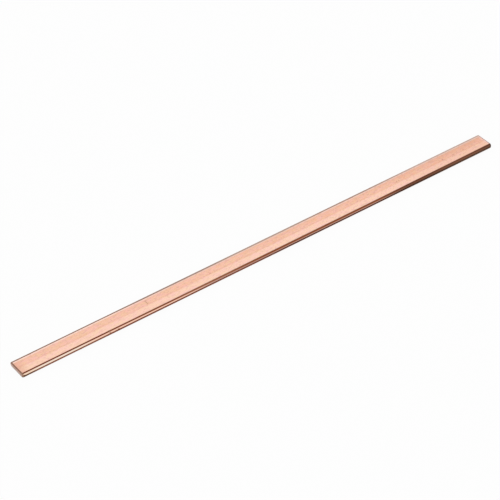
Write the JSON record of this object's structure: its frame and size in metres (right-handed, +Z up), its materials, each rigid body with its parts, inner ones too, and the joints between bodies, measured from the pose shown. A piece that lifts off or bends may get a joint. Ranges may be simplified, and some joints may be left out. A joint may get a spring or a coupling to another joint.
{
  "type": "copper flat bar",
  "caption": "Straight length of drawn copper flat bar with rounded long edges and deburred cut ends, for cutting, bending or drilling into busbars, earth links and straps.",
  "frame": {"origin": "middle of the underside, on the surface that the bar lies on", "axes": "+X along the bar's length, from the near cut end to the far one, +Y across its width, +Z up through its thickness"},
  "size_m": [0.3999, 0.015, 0.004],
  "materials": {
    "drawn_copper": "bright drawn copper, fine lengthwise draw lines and faint handling tarnish"
  },
  "bodies": {
    "root": {"flat_bar": "drawn_copper"}
  },
  "joints": []
}
